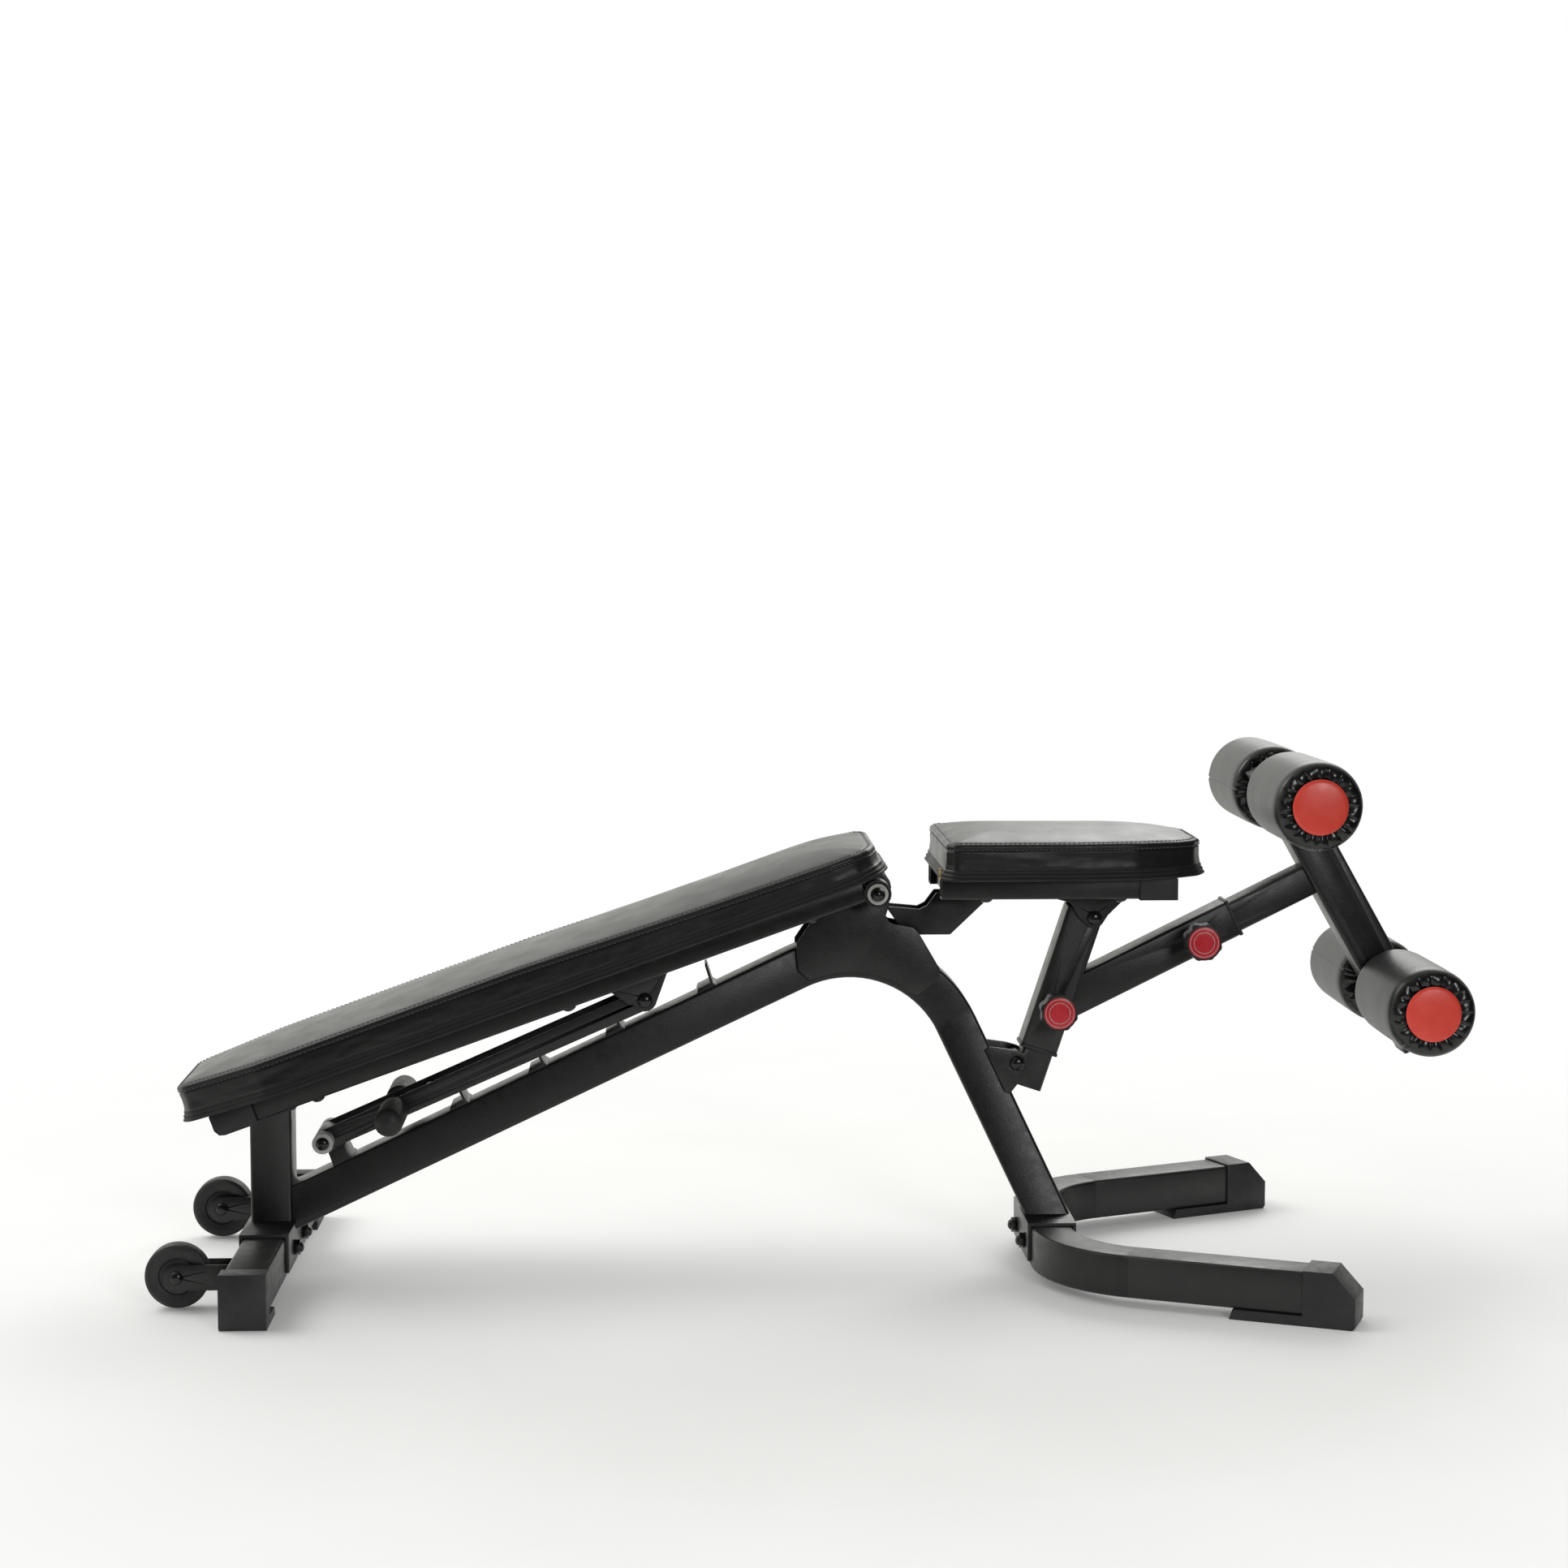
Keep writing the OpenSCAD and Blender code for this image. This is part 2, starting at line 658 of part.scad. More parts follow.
// Row of stops for a pop pin in an inner tube's near wall, joined by a guide slot
module pin_slot(x0, travel) {
    slot_w = 8.8;
    stops = 4;
    translate([x0 - 1, -inner_w / 2 - 1, -slot_w / 2]) cube([travel + 2, wall + 2, slot_w]);
    for (k = [0:stops]) translate([x0 + travel * k / stops, 0, 0]) rod_y(11, -inner_w / 2 - 1, -inner_w / 2 + wall + 1);
}

module support_inner_tube() {
    color(steel) difference() {
        union() {
            on_support() bar(inner_w, -50.7, 152);
            at(support_pivot) rod_y(20, -half_w + 0.4, half_w - 0.4);
        }
        on_support() bore(inner_w, -52, 153);
        on_support() pin_slot(height_pin_at, height_travel);
        at(support_pivot) rod_y(pivot_hole, -60, 60);
    }
}

// Outer solid of the support's upper tube, level at its top
module support_outer_solid(w) difference() {
    on_support() bar(w, 0, 220);
    translate([200, -60, seat_pivot[1] + 14]) cube([300, 120, 100]);
}

module support_outer_tube() {
    color(steel) difference() {
        support_outer_solid(outer_w);
        on_support() bore(outer_w, -1, 230);
        at(seat_pivot) rod_y(12.6, -60, 60);
        on_support() translate([height_pin_at, 0, 0]) rod_y(9, -40, 0);
    }
}

// Plastic liner and lip between two telescoping tubes, its mouth at x = 0
module sleeve() {
    liner = outer_w - 2 * wall - 0.3;
    color(black) difference() {
        union() {
            along_x(0.3, 40) polygon(rounded(liner, liner, 2.2));
            along_x(-4, -0.2) polygon(rounded(outer_w + 2, outer_w + 2, 3));
            along_x(-0.3, 0.4) polygon(rounded(liner, liner, 2.2));
        }
        along_x(-5, 41) polygon(rounded(inner_w + 0.6, inner_w + 0.6, 4));
    }
}

module support_sleeve() on_support() sleeve();
module arm_sleeve() on_arm() mirror([1, 0, 0]) sleeve();

module arm_outer_tube() {
    color(steel) difference() {
        on_arm() bar(outer_w, -230, 0);
        on_arm() bore(outer_w, -232, 1);
        on_support() bar(outer_w + 0.1, -20, 260);
        on_arm() translate([arm_pin_at, 0, 0]) rod_y(9, -40, 0);
        translate([200, -60, 200]) cube([100, 120, 300]);
    }
}

// Threaded collars welded on the outer tubes around the pins
module collar() difference() {
    union() {
        rod_y(22, -44, -outer_w / 2 - 0.05);
    }
    rod_y(15, -42, -outer_w / 2);
    rod_y(9, -50, -40);
}

module pin_collars() {
    color(steel) {
        on_support() translate([height_pin_at, 0, 0]) collar();
        on_arm() translate([arm_pin_at, 0, 0]) collar();
    }
}

// Spring pin: its tip passes both walls and its flange meets the spring
module pop_pin() {
    color(zinc) {
        rod_y(8, -70, -inner_w / 2 + 1);
        rod_y(14, -26, -23.5);
    }
}

// Coil drawn at its pulled length, between the collar's end and the flange's far position
module spring() {
    for (k = [0:3]) translate([0, -40.8 + 1.2 * k, 0]) rotate([90, 0, 0]) rotate_extrude()
        translate([5.6, 0]) circle(d = 2);
}

module pin_springs() {
    color(zinc) {
        on_support() translate([height_pin_at, 0, 0]) spring();
        on_arm() translate([arm_pin_at, 0, 0]) spring();
    }
}

// Lobed knob with a round face
module knob() {
    lobes = 8;
    difference() {
        union() {
            color(black) side_plate(-72, -52) polygon([for (a = [0:5:355])
                (knob_d / 2 - 1.2 + 1.2 * cos(lobes * a)) * [cos(a), sin(a)]]);
            color(black) rod_y(26, -52.1, -46);
            color(red) translate([0, -71.9, 0]) rotate([90, 0, 0]) cylinder(d = knob_d - 3.5, h = 3);
        }
        rod_y(8 + gap, -70 - gap, -40);
    }
}

module height_pin() on_support() translate([height_pin_at, 0, 0]) pop_pin();
module height_knob() on_support() translate([height_pin_at, 0, 0]) knob();
module arm_pin() on_arm() translate([arm_pin_at, 0, 0]) pop_pin();
module arm_knob() on_arm() translate([arm_pin_at, 0, 0]) knob();

module arm_inner_tube() {
    color(steel) difference() {
        on_arm() bar(inner_w, -186, 140);
        on_arm() bore(inner_w, -187, 141);
        on_arm() pin_slot(arm_pin_at - arm_travel, arm_travel);
        on_post() bar(tube_w + 0.1, -60, 320);
        at(roller_low) rise(90 + post_lean) translate([-60, -60, -100]) cube([400, 120, 100]);
    }
}

module roller_post() {
    color(steel) on_post() difference() {
        hollow(tube_w, -75, roller_gap + 33);
        for (z = [0, roller_gap]) translate([z, 0, 0]) rod_y(bar_d + 0.2, -60, 60);
    }
}

// Plastic plugs in both ends of the roller post
module post_plugs() {
    plug = tube_w - 2 * wall - 2 * gap;
    color(black) on_post() for (e = [[-75, 1], [roller_gap + 33, -1]]) translate([e[0], 0, 0])
        mirror([e[1] < 0 ? 1 : 0, 0, 0]) {
            along_x(0, 16) polygon(rounded(plug, plug, 2));
            along_x(-4, 0.01 - gap) polygon(rounded(tube_w, tube_w, edge_r));
            along_x(-1, 1) polygon(rounded(plug, plug, 2));
        }
}

module roller_bars() {
    color(steel) on_post() for (z = [0, roller_gap]) translate([z, 0, 0]) difference() {
        rod_y(bar_d, -roller_end + 1, roller_end - 1);
        rod_y(bar_d - 4, -roller_end, roller_end);
    }
}

module roller_end_caps() {
    color(red) on_post() for (z = [0, roller_gap]) translate([z, 0, 0]) both_sides() {
        translate([0, roller_end + 0.5, 0]) rotate([-90, 0, 0]) dome(65, 4);
        rod_y(bar_d - 4 - 2 * gap, roller_end - 20, roller_end + 0.6);
    }
}

// Foam tube in a sewn cover
module foam() {
    r = roller_d / 2;
    color(vinyl) rotate([-90, 0, 0]) rotate_extrude() polygon([[bar_d / 2 + run, roller_y], [r - 10, roller_y],
        [r - 3, roller_y + 3], [r, roller_y + 10], [r, roller_end - 10], [r - 3, roller_end - 3],
        [r - 10, roller_end], [bar_d / 2 + run, roller_end]]);
}

module upper() on_post() translate([roller_gap, 0, 0]) children();
module upper_far_roller() upper() foam();
module upper_near_roller() upper() mirror([0, 1, 0]) foam();
module lower_far_roller() on_post() foam();
module lower_near_roller() on_post() mirror([0, 1, 0]) foam();

main_frame();
gusset_plates();
ladder_catches();
rest_bumper();
hinge_axle();
hinge_end_bolts();
rear_stabilizer();
rear_end_caps();
rear_bolts();
wheel_brackets();
wheel_axle_bolts();
near_wheel_tyre();
near_wheel_hub();
far_wheel_tyre();
far_wheel_hub();
front_base();
front_end_caps();
front_bolts();
support_bracket();
support_pivot_bolt();
back_frame();
back_frame_caps();
back_board();
back_pad();
back_pad_bolts();
strut_bracket();
strut_pivot_bolt();
strut_bars();
strut_foot_tube();
strut_foot_bolts();
handle_bar();
handle_grips();
seat_frame();
seat_frame_caps();
seat_board();
seat_pad();
seat_pad_bolts();
seat_arms();
seat_bracket();
seat_pivot_bolt();
support_inner_tube();
support_outer_tube();
support_sleeve();
arm_outer_tube();
arm_sleeve();
pin_collars();
arm_inner_tube();
roller_post();
post_plugs();
roller_bars();
roller_end_caps();
upper_near_roller();
upper_far_roller();
lower_near_roller();
lower_far_roller();
height_pin();
height_knob();
arm_pin();
arm_knob();
pin_springs();
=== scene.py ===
import json
import math
import random

import bmesh
import bpy
from mathutils import Matrix, Vector, noise

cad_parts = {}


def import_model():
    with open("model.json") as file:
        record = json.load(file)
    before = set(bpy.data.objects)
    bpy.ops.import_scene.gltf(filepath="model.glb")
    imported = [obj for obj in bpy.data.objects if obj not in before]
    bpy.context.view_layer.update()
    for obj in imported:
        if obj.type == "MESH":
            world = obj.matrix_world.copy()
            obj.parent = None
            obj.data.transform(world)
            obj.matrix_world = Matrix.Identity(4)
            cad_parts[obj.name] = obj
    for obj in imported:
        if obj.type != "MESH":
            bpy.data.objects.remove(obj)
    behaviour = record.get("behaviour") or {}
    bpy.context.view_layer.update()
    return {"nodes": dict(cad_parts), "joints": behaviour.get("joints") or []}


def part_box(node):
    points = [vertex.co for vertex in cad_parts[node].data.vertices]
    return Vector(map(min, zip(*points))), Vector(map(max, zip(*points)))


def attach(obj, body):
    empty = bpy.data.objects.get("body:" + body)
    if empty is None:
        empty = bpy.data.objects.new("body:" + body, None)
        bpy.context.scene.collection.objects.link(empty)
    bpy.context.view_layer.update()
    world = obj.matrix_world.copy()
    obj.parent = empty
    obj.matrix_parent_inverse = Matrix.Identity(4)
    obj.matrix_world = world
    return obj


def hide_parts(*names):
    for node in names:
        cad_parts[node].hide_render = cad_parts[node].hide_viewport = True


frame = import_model()
nodes = frame["nodes"]
scene = bpy.context.scene

# Lengths here are in millimetres, which MM turns into the frame's metres. The stage's are in metres.
MM = 0.001
BACK_SLOPE = 19.7


# ---------------------------------------------------------------- materials

class Look:
    """A procedural material built step by step on a Principled shader."""

    def __init__(self, name):
        self.material = bpy.data.materials.new(name)
        self.material.use_nodes = True
        self.tree = self.material.node_tree
        self.tree.nodes.clear()
        output = self.add("OutputMaterial")
        self.shader = self.add("BsdfPrincipled")
        self.link(self.shader.outputs["BSDF"], output.inputs["Surface"])
        coords = self.add("TexCoord")
        self.object_coords = coords.outputs["Object"]
        self.uv = coords.outputs["UV"]
        self.normal = None

    def add(self, kind, **settings):
        node = self.tree.nodes.new("ShaderNode" + kind)
        for key, value in settings.items():
            setattr(node, key, value)
        return node

    def link(self, a, b):
        self.tree.links.new(a, b)

    def stretched(self, scale, source=None):
        mapping = self.add("Mapping")
        self.link(source or self.object_coords, mapping.inputs["Vector"])
        mapping.inputs["Scale"].default_value = scale
        return mapping.outputs["Vector"]

    def noise(self, scale, detail=3.0, vector=None):
        node = self.add("TexNoise")
        node.inputs["Scale"].default_value = scale
        node.inputs["Detail"].default_value = detail
        self.link(vector or self.object_coords, node.inputs["Vector"])
        return node.outputs["Fac"]

    def cells(self, scale):
        node = self.add("TexVoronoi", feature="DISTANCE_TO_EDGE")
        node.inputs["Scale"].default_value = scale
        self.link(self.object_coords, node.inputs["Vector"])
        return node.outputs["Distance"]

    def spread(self, value, low, high, start=0.3, end=0.7):
        node = self.add("MapRange")
        self.link(value, node.inputs["Value"])
        node.inputs["From Min"].default_value = start
        node.inputs["From Max"].default_value = end
        node.inputs["To Min"].default_value = low
        node.inputs["To Max"].default_value = high
        return node.outputs["Result"]

    def blend(self, share, a, b):
        node = self.add("Mix", data_type="RGBA")
        self.link(share, node.inputs["Factor"])
        for socket, value in ((node.inputs["A"], a), (node.inputs["B"], b)):
            if isinstance(value, tuple):
                socket.default_value = (*value, 1.0)
            else:
                self.link(value, socket)
        return node.outputs["Result"]

    def bump(self, height, distance, strength=1.0):
        node = self.add("Bump")
        node.inputs["Distance"].default_value = distance * MM
        node.inputs["Strength"].default_value = strength
        self.link(height, node.inputs["Height"])
        if self.normal:
            self.link(self.normal, node.inputs["Normal"])
        self.normal = node.outputs["Normal"]
        self.link(self.normal, self.shader.inputs["Normal"])

    def fixed(self, name, value):
        self.shader.inputs[name].default_value = value

    def colour(self, value):
        self.link(value, self.shader.inputs["Base Color"])

    def patches(self, scale, dark, light):
        """Colour that drifts between two near tones."""
        self.colour(self.blend(self.spread(self.noise(scale), 0.0, 1.0), dark, light))

    def roughness(self, low, high, scale):
        self.link(self.spread(self.noise(scale, 4.0), low, high), self.shader.inputs["Roughness"])

    def worn_edges(self, base, worn):
        """Convex edges rubbed slightly lighter."""
        geometry = self.add("NewGeometry")
        edge = self.spread(geometry.outputs["Pointiness"], 0.0, 0.6, 0.52, 0.62)
        return self.blend(edge, base, worn)


def mottled(name, dark, light, scale, rough, grain, metallic=0.0, worn=None):
    """Paint, plastic, rubber or metal: drifting tone, uneven roughness and (size, depth) grains."""
    look = Look(name)
    base = look.blend(look.spread(look.noise(scale), 0.0, 1.0), dark, light)
    if worn:
        base = look.worn_edges(base, worn)
    look.colour(base)
    look.roughness(rough[0], rough[1], scale * 2.3)
    look.fixed("Metallic", metallic)
    for size, depth in grain:
        look.bump(look.noise(size, 2.0), depth)
    return look.material


def vinyl(name, dark, light, rough, cell_scale, cell_depth, fold_depth):
    """Black vinyl: a net of fine leather cells, soft creases and a low sheen."""
    look = Look(name)
    look.patches(9.0, dark, light)
    look.roughness(rough[0], rough[1], 26.0)
    look.bump(look.noise(55.0, 5.0), fold_depth)
    look.bump(look.spread(look.cells(cell_scale), 0.0, 1.0, 0.0, 0.25), cell_depth, 0.5)
    look.bump(look.noise(cell_scale * 2.5, 2.0), cell_depth * 0.4, 0.4)
    look.fixed("Specular IOR Level", 0.38)
    look.fixed("Sheen Weight", 0.06)
    look.fixed("Sheen Roughness", 0.4)
    return look.material


def roller_vinyl():
    """The roller cover: streaks run round the barrel where the sleeve is stretched."""
    look = Look("roller_vinyl")
    streaks = look.noise(1.0, 4.0, look.stretched((5.0, 900.0, 1.0), look.uv))
    broad = look.spread(look.noise(14.0, 2.0), 0.0, 1.0)
    look.colour(look.blend(broad, (0.009, 0.0095, 0.0095), (0.015, 0.0155, 0.015)))
    look.link(look.spread(streaks, 0.33, 0.47), look.shader.inputs["Roughness"])
    look.bump(streaks, 0.12, 0.6)
    look.bump(look.spread(look.cells(650.0), 0.0, 1.0, 0.0, 0.25), 0.08, 0.35)
    look.fixed("Specular IOR Level", 0.4)
    look.fixed("Sheen Weight", 0.03)
    return look.material


def gathered_vinyl():
    """The glossier, stretched vinyl of the puckered end faces."""
    look = Look("gathered_vinyl")
    look.patches(30.0, (0.006, 0.0064, 0.0064), (0.012, 0.0125, 0.012))
    look.roughness(0.2, 0.32, 70.0)
    look.bump(look.noise(90.0, 2.0), 0.3, 0.5)
    look.bump(look.spread(look.cells(650.0), 0.0, 1.0, 0.0, 0.25), 0.06, 0.3)
    look.fixed("Coat Weight", 0.3)
    look.fixed("Coat Roughness", 0.2)
    return look.material


def stitch_thread():
    """Twisted sewing thread."""
    look = Look("stitch_thread")
    twist = look.noise(2600.0, 1.0)
    look.colour(look.blend(look.spread(twist, 0.0, 1.0), (0.06, 0.063, 0.072), (0.14, 0.145, 0.165)))
    look.roughness(0.5, 0.7, 900.0)
    look.bump(twist, 0.1)
    return look.material


def plywood():
    """Bare plywood: long grain along X."""
    look = Look("plywood")
    grain = look.noise(1.0, 6.0, look.stretched((18.0, 420.0, 420.0)))
    look.colour(look.blend(look.spread(grain, 0.0, 1.0), (0.3, 0.19, 0.09), (0.5, 0.36, 0.2)))
    look.roughness(0.5, 0.7, 60.0)
    look.bump(grain, 0.15)
    return look.material


PAINT = mottled("frame_paint", (0.005, 0.0053, 0.0051), (0.010, 0.0104, 0.010), 30.0, (0.32, 0.42),
                ((420.0, 0.12), (1800.0, 0.05)), worn=(0.05, 0.05, 0.05))
BUSHING = mottled("bushing_grey", (0.42, 0.42, 0.4), (0.56, 0.56, 0.53), 80.0, (0.38, 0.55),
                  ((900.0, 0.05),))
BOLT = mottled("black_bolts", (0.006, 0.006, 0.006), (0.014, 0.014, 0.014), 120.0, (0.12, 0.26),
               ((500.0, 0.03),))
ZINC = mottled("zinc_steel", (0.5, 0.5, 0.49), (0.68, 0.68, 0.66), 150.0, (0.2, 0.4),
               ((1200.0, 0.04),), metallic=1.0)
PLASTIC = mottled("black_plastic", (0.014, 0.0145, 0.015), (0.024, 0.0245, 0.025), 40.0, (0.4, 0.55),
                  ((1500.0, 0.14), (300.0, 0.05)))
RUBBER = mottled("black_rubber", (0.012, 0.012, 0.012), (0.022, 0.022, 0.021), 60.0, (0.5, 0.68),
                 ((1100.0, 0.16),))
TYRE = mottled("wheel_rubber", (0.012, 0.012, 0.012), (0.026, 0.026, 0.026), 50.0, (0.42, 0.6),
               ((700.0, 0.12),))
RED = mottled("red_plastic", (0.95, 0.075, 0.05), (1.0, 0.1, 0.07), 45.0, (0.3, 0.42),
              ((1300.0, 0.06),))
PLYWOOD = plywood()
KNOB = mottled("knob_plastic", (0.006, 0.006, 0.0065), (0.012, 0.012, 0.0125), 60.0, (0.45, 0.58),
               ((1400.0, 0.03),))
KNOB_FACE = mottled("knob_face_red", (0.58, 0.018, 0.032), (0.7, 0.03, 0.045), 60.0, (0.24, 0.34),
                    ((1400.0, 0.02),))
PAD_VINYL = vinyl("pad_vinyl", (0.010, 0.0105, 0.0105), (0.017, 0.0175, 0.017), (0.3, 0.4),
                  620.0, 0.12, 0.2)
BAND_VINYL = vinyl("band_vinyl", (0.010, 0.0105, 0.0105), (0.017, 0.0175, 0.0175), (0.5, 0.62),
                   900.0, 0.1, 0.2)
ROLLER_VINYL = roller_vinyl()
GATHERED_VINYL = gathered_vinyl()
THREAD = stitch_thread()
BRASS = mottled("brass", (0.5, 0.33, 0.1), (0.66, 0.46, 0.18), 300.0, (0.22, 0.38),
                ((900.0, 0.03),), metallic=1.0)
RING_PRINT = mottled("ring_print", (0.6, 0.5, 0.5), (0.74, 0.68, 0.68), 200.0, (0.35, 0.5),
                     ((1500.0, 0.03),))

NODE_LOOKS = (
    (PAINT, 0.6, "main_frame gusset_plates ladder_catches rear_stabilizer wheel_brackets front_base"
                 " support_bracket back_frame strut_bracket strut_bars handle_bar seat_frame seat_arms"
                 " seat_bracket support_inner_tube support_outer_tube arm_outer_tube arm_inner_tube"
                 " roller_post roller_bars"),
    (BUSHING, 0.4, "hinge_axle strut_foot_tube"),
    (BOLT, 0.4, "hinge_end_bolts rear_bolts wheel_axle_bolts front_bolts support_pivot_bolt"
                " back_pad_bolts strut_pivot_bolt strut_foot_bolts seat_pad_bolts seat_pivot_bolt"),
    (ZINC, 0.3, "pin_collars height_pin arm_pin pin_springs"),
    (PLASTIC, 0.8, "rear_end_caps front_end_caps back_frame_caps seat_frame_caps support_sleeve"
                   " arm_sleeve post_plugs near_wheel_hub far_wheel_hub"),
    (RUBBER, 0.8, "rest_bumper handle_grips"),
    (TYRE, 0.5, "near_wheel_tyre far_wheel_tyre"),
    (RED, 0.5, "roller_end_caps"),
    (PLYWOOD, 0.5, "back_board seat_board"),
    (KNOB, 0.5, "height_knob arm_knob"),
)


# ---------------------------------------------------------------- carried-over CAD nodes

def smooth_by_angle(limit):
    """Geometry nodes that shade smooth, except across edges sharper than limit."""
    group = bpy.data.node_groups.new("smooth_by_angle", "GeometryNodeTree")
    group.interface.new_socket("Geometry", in_out="INPUT", socket_type="NodeSocketGeometry")
    group.interface.new_socket("Geometry", in_out="OUTPUT", socket_type="NodeSocketGeometry")
    start = group.nodes.new("NodeGroupInput")
    end = group.nodes.new("NodeGroupOutput")
    faces = group.nodes.new("GeometryNodeSetShadeSmooth")
    edges = group.nodes.new("GeometryNodeSetShadeSmooth")
    edges.domain = "EDGE"
    angle = group.nodes.new("GeometryNodeInputMeshEdgeAngle")
    compare = group.nodes.new("FunctionNodeCompare")
    compare.operation = "LESS_EQUAL"
    compare.inputs["B"].default_value = limit
    group.links.new(start.outputs[0], faces.inputs["Geometry"])
    group.links.new(faces.outputs[0], edges.inputs["Geometry"])
    group.links.new(angle.outputs["Unsigned Angle"], compare.inputs["A"])
    group.links.new(compare.outputs[0], edges.inputs["Shade Smooth"])
    group.links.new(edges.outputs[0], end.inputs[0])
    return group


SMOOTH_ANGLE = 32
BEVEL_ANGLE = 40
WELD_MM = 0.02
SMOOTH_GROUP = smooth_by_angle(math.radians(SMOOTH_ANGLE))


def finish_node(name, material, bevel):
    """Gives a CAD node its material, rounded edges and smooth shading; its mesh stays."""
    obj = nodes[name]
    mesh = obj.data
    mesh.materials.clear()
    mesh.materials.append(material)
    if "custom_normal" in mesh.attributes:
        mesh.attributes.remove(mesh.attributes["custom_normal"])
    weld = obj.modifiers.new("weld", "WELD")
    weld.merge_threshold = WELD_MM * MM
    edge = obj.modifiers.new("edges", "BEVEL")
    edge.width = bevel * MM
    edge.segments = 2
    edge.limit_method = "ANGLE"
    edge.angle_limit = math.radians(BEVEL_ANGLE)
    edge.use_clamp_overlap = True
    edge.harden_normals = False
    smooth = obj.modifiers.new("smooth", "NODES")
    smooth.node_group = SMOOTH_GROUP


for look_material, bevel_mm, names in NODE_LOOKS:
    for node_name in names.split():
        finish_node(node_name, look_material, bevel_mm)


# ---------------------------------------------------------------- shared mesh helpers

def new_object(name, verts, faces, materials, face_materials=None):
    mesh = bpy.data.meshes.new(name)
    mesh.from_pydata([tuple(v) for v in verts], [], faces)
    for material in materials:
        mesh.materials.append(material)
    if face_materials:
        mesh.polygons.foreach_set("material_index", face_materials)
    mesh.shade_smooth()
    mesh.update()
    piece = bpy.data.objects.new(name, mesh)
    scene.collection.objects.link(piece)
    return piece


def new_piece(name, verts, faces, materials, body, face_materials=None):
    piece = new_object(name, verts, faces, materials, face_materials)
    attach(piece, body)
    return piece


def faces_outward(mesh):
    bm = bmesh.new()
    bm.from_mesh(mesh)
    bmesh.ops.recalc_face_normals(bm, faces=bm.faces)
    bm.to_mesh(mesh)
    bm.free()


def smoothed(points, passes):
    """Corner cutting on an open line of 2D points; the ends stay."""
    for _ in range(passes):
        cut = [points[0]]
        for a, b in zip(points, points[1:]):
            cut.append(a.lerp(b, 0.25))
            cut.append(a.lerp(b, 0.75))
        cut.append(points[-1])
        points = cut
    return points


def near_corners(points, reach):
    """Adds a point on each side of every corner, so that rounding stays close to it."""
    result = [points[0]]
    for before, corner, after in zip(points, points[1:], points[2:]):
        for side in (before, after):
            length = (side - corner).length
            share = min(reach, length * 0.45) / length
            result.append(corner.lerp(side, share))
            if side is before:
                result.append(corner)
    result.append(points[-1])
    return result


def resampled(points, step):
    """Evenly spaced points along an open line."""
    lengths = [0.0]
    for a, b in zip(points, points[1:]):
        lengths.append(lengths[-1] + (b - a).length)
    count = max(8, round(lengths[-1] / step))
    result = []
    index = 0
    for i in range(count + 1):
        want = lengths[-1] * i / count
        while index < len(points) - 2 and lengths[index + 1] < want:
            index += 1
        span = lengths[index + 1] - lengths[index]
        share = (want - lengths[index]) / span if span else 0.0
        result.append(points[index].lerp(points[index + 1], min(1.0, share)))
    return result


def between(value, table):
    """Straight-line look-up in a table of (place, amount) pairs."""
    for (x0, y0), (x1, y1) in zip(table, table[1:]):
        if value <= x1:
            share = max(0.0, (value - x0) / (x1 - x0))
            return y0 + (y1 - y0) * share
    return table[-1][1]


# ---------------------------------------------------------------- cushions

UNDER, RIB, SIDE, BAND, TOP = range(5)
UNDER_EDGE = 34.0
UNDER_RINGS = (0.35, 0.7)
CROWN_RINGS = 15
# The rows of cushion_profile that carry the stitches.
SIDE_STITCH_ROW = 23
TOP_STITCH_ROW = 27
SIDE_WRINKLE = 0.8
CROWN_WAVE = 0.5
CORNER_REACH = 11.0
BACK_CROWN = 1.5
SEAT_CROWN = 1.0
PUFF_CAP = 5.0
PUFF_FRAMES = 20
OUTLINE_STEP = 5.5


def cushion_profile(seam, end):
    """(inset, height, part, held) rows in mm from the underside up to the top stitch line.

    seam is the height of the upper seam, and end is 1 on a head or foot end, where the side leans in.
    """
    rows = [
        (UNDER_EDGE, 0.0, UNDER, True),
        (8.0, 0.0, UNDER, True),
        (1.0, 0.1, UNDER, True),
        (-0.6, 1.2, RIB, True),
        (-0.9, 2.6, RIB, True),
        (-0.1, 3.9, RIB, True),
        (1.6 + 0.4 * end, 4.7, RIB, True),
        (0.3 + 0.7 * end, 5.6, RIB, True),
        (0.2 + 1.0 * end, 7.2, RIB, True),
        (0.9 + 1.4 * end, 8.6, RIB, True),
        (2.5 + 1.8 * end, 9.3, RIB, True),
        (1.1 + 2.1 * end, 10.2, RIB, True),
        (1.1 + 2.5 * end, 11.8, RIB, True),
        (1.7 + 2.4 * end, 13.0, RIB, True),
        (3.1 + 2.1 * end, 13.8, SIDE, True),
        (2.5 + 2.9 * end, 14.9, SIDE, False),
    ]
    low = 14.9
    high = seam - 8.2
    for share in (0.16, 0.33, 0.5, 0.67, 0.84):
        tuck = math.sin(math.pi * share)
        rows.append((2.5 + 3.2 * end + 1.0 * tuck, low + (high - low) * share, SIDE, False))
    rows += [
        (2.7 + 4.0 * end, high - 0.9, SIDE, True),
        (4.7 + 4.0 * end, high, BAND, True),
        (2.3 + 4.0 * end, high + 0.9, BAND, True),
        (1.8 + 4.0 * end, high + 3.2, BAND, False),
        (2.3 + 4.0 * end, high + 5.6, BAND, False),
        (4.3 + 4.0 * end, high + 7.4, BAND, False),
        (7.3 + 4.0 * end, high + 8.2, BAND, True),
        (8.6 + 4.0 * end, high + 6.5, TOP, True),
        (9.8 + 4.0 * end, high + 8.6, TOP, True),
    ]
    return rows


